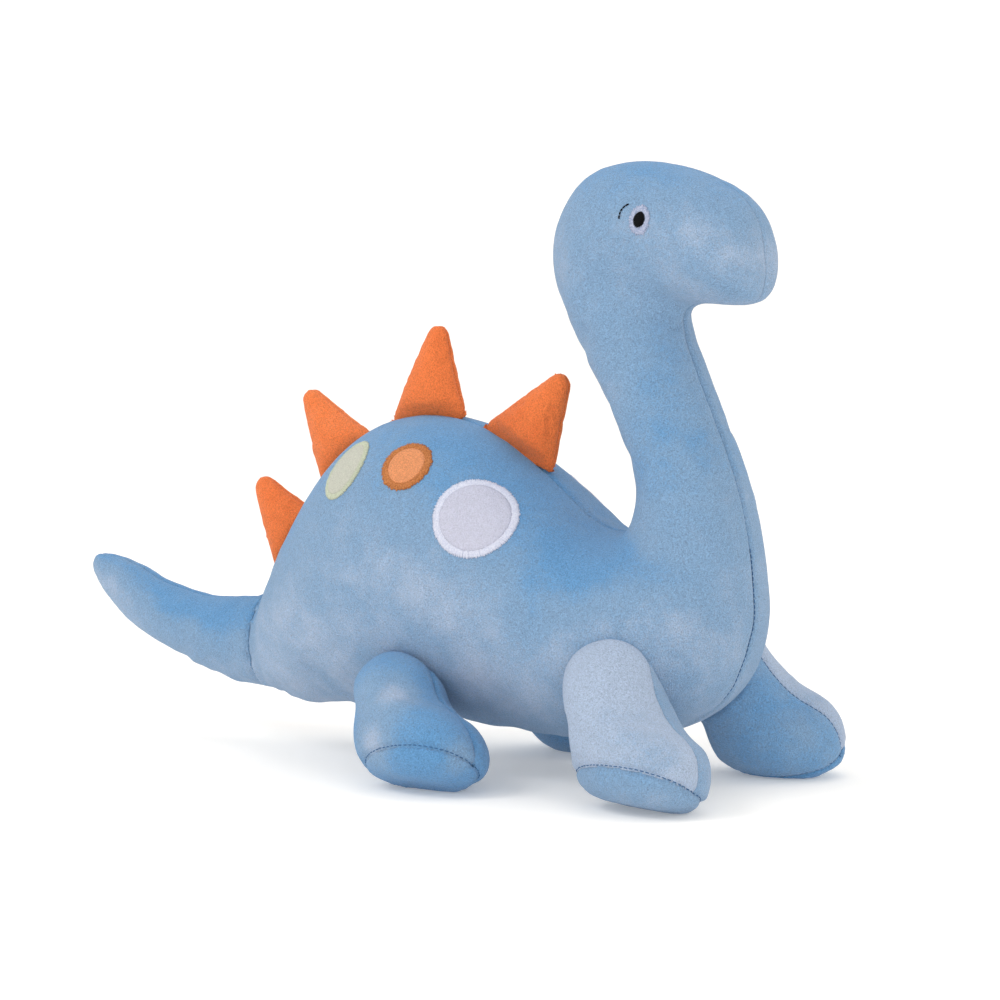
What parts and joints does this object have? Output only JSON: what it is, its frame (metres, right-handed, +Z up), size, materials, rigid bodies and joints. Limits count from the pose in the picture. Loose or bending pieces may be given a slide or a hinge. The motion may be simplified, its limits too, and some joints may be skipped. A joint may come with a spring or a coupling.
{
  "type": "stuffed dinosaur",
  "caption": "Soft stuffed long-necked dinosaur standing on stubby legs, with spikes along its back, applique spots on its sides and a long tail.",
  "frame": {"origin": "on the floor, at the middle of the toy's overall length and width", "axes": "+X the way the toy faces, +Y its left side, +Z up"},
  "size_m": [0.426, 0.2014, 0.294],
  "materials": {
    "blue_plush": "short cut pile, soft sheen",
    "orange_plush": "short cut pile",
    "stuffing_fibre": "matt loose fibre",
    "white_spot_fabric": "matt short pile",
    "orange_spot_fabric": "short cut pile",
    "cream_spot_fabric": "matt short pile",
    "white_thread": "satin stitch",
    "orange_thread": "satin stitch",
    "cream_thread": "satin stitch",
    "black_thread": "satin stitch",
    "blue_thread": "matt thread"
  },
  "bodies": {
    "torso": {"body_panel_left": "blue_plush", "body_panel_right": "blue_plush", "chest_seam_stitches": "blue_thread", "spot_cream_left_border": "cream_thread", "spot_cream_left_patch": "cream_spot_fabric", "spot_cream_right_border": "cream_thread", "spot_cream_right_patch": "cream_spot_fabric", "spot_orange_left_border": "orange_thread", "spot_orange_left_patch": "orange_spot_fabric", "spot_orange_right_border": "orange_thread", "spot_orange_right_patch": "orange_spot_fabric", "spot_white_left_border": "white_thread", "spot_white_left_patch": "white_spot_fabric", "spot_white_right_border": "white_thread", "spot_white_right_patch": "white_spot_fabric", "tail_seam_thread": "blue_thread", "torso_stuffing": "stuffing_fibre"},
    "head": {"eye_brow_left": "black_thread", "eye_brow_right": "black_thread", "eye_pupil_left": "black_thread", "eye_pupil_right": "black_thread", "eye_white_left": "white_thread", "eye_white_right": "white_thread", "head_stuffing": "stuffing_fibre"},
    "tail": {"tail_panel_left": "blue_plush", "tail_panel_right": "blue_plush", "tail_stuffing": "stuffing_fibre"},
    "leg_front_right": {"leg_front_right_inner_panel": "blue_plush", "leg_front_right_outer_panel": "blue_plush", "leg_front_right_sole": "blue_plush", "leg_front_right_stuffing": "stuffing_fibre"},
    "leg_front_left": {"leg_front_left_inner_panel": "blue_plush", "leg_front_left_outer_panel": "blue_plush", "leg_front_left_sole": "blue_plush", "leg_front_left_stuffing": "stuffing_fibre"},
    "leg_hind_right": {"leg_hind_right_inner_panel": "blue_plush", "leg_hind_right_outer_panel": "blue_plush", "leg_hind_right_sole": "blue_plush", "leg_hind_right_stuffing": "stuffing_fibre"},
    "leg_hind_left": {"leg_hind_left_inner_panel": "blue_plush", "leg_hind_left_outer_panel": "blue_plush", "leg_hind_left_sole": "blue_plush", "leg_hind_left_stuffing": "stuffing_fibre"},
    "spike_1": {"spike_1_panel_left": "orange_plush", "spike_1_panel_right": "orange_plush", "spike_1_stuffing": "stuffing_fibre"},
    "spike_2": {"spike_2_panel_left": "orange_plush", "spike_2_panel_right": "orange_plush", "spike_2_stuffing": "stuffing_fibre"},
    "spike_3": {"spike_3_panel_left": "orange_plush", "spike_3_panel_right": "orange_plush", "spike_3_stuffing": "stuffing_fibre"},
    "spike_4": {"spike_4_panel_left": "orange_plush", "spike_4_panel_right": "orange_plush", "spike_4_stuffing": "stuffing_fibre"}
  },
  "joints": [
    {"name": "neck_bend", "type": "hinge", "parent": "torso", "child": "head", "pos_m": [0.159, 0, 0.162], "axis": [0, 1, 0], "range_deg": [-15, 20], "stiffness_Nm_per_rad": 1.5, "deforming": ["body_panel_right", "body_panel_left"]},
    {"name": "tail_wag", "type": "hinge", "parent": "torso", "child": "tail", "pos_m": [-0.112, 0, 0.053], "axis": [0, 0, 1], "range_deg": [-25, 25], "stiffness_Nm_per_rad": 0.3, "deforming": ["tail_panel_right", "tail_panel_left"]},
    {"name": "leg_front_right_swing", "type": "hinge", "parent": "torso", "child": "leg_front_right", "pos_m": [0.156, -0.042, 0.078], "axis": [0, 1, 0], "range_deg": [-15, 15], "stiffness_Nm_per_rad": 1, "deforming": ["leg_front_right_outer_panel", "leg_front_right_inner_panel"]},
    {"name": "leg_front_left_swing", "type": "hinge", "parent": "torso", "child": "leg_front_left", "pos_m": [0.156, 0.042, 0.078], "axis": [0, 1, 0], "range_deg": [-15, 15], "stiffness_Nm_per_rad": 1, "deforming": ["leg_front_left_outer_panel", "leg_front_left_inner_panel"]},
    {"name": "leg_hind_right_swing", "type": "hinge", "parent": "torso", "child": "leg_hind_right", "pos_m": [0.04, -0.05, 0.066], "axis": [0, 1, 0], "range_deg": [-15, 15], "stiffness_Nm_per_rad": 1, "deforming": ["leg_hind_right_outer_panel", "leg_hind_right_inner_panel"]},
    {"name": "leg_hind_left_swing", "type": "hinge", "parent": "torso", "child": "leg_hind_left", "pos_m": [0.04, 0.05, 0.066], "axis": [0, 1, 0], "range_deg": [-15, 15], "stiffness_Nm_per_rad": 1, "deforming": ["leg_hind_left_outer_panel", "leg_hind_left_inner_panel"]},
    {"name": "spike_1_flop", "type": "hinge", "parent": "torso", "child": "spike_1", "pos_m": [-0.0685, 0, 0.1015], "axis": [0.5492, 0, 0.8357], "range_deg": [-25, 25], "stiffness_Nm_per_rad": 0.05, "deforming": ["spike_1_panel_right", "spike_1_panel_left"]},
    {"name": "spike_2_flop", "type": "hinge", "parent": "torso", "child": "spike_2", "pos_m": [-0.036, 0, 0.144], "axis": [0.6616, 0, 0.7498], "range_deg": [-25, 25], "stiffness_Nm_per_rad": 0.05, "deforming": ["spike_2_panel_right", "spike_2_panel_left"]},
    {"name": "spike_3_flop", "type": "hinge", "parent": "torso", "child": "spike_3", "pos_m": [0.012, 0, 0.17], "axis": [0.9923, 0, 0.124], "range_deg": [-25, 25], "stiffness_Nm_per_rad": 0.05, "deforming": ["spike_3_panel_right", "spike_3_panel_left"]},
    {"name": "spike_4_flop", "type": "hinge", "parent": "torso", "child": "spike_4", "pos_m": [0.0665, 0, 0.1575], "axis": [0.89, 0, -0.4559], "range_deg": [-25, 25], "stiffness_Nm_per_rad": 0.05, "deforming": ["spike_4_panel_right", "spike_4_panel_left"]}
  ]
}
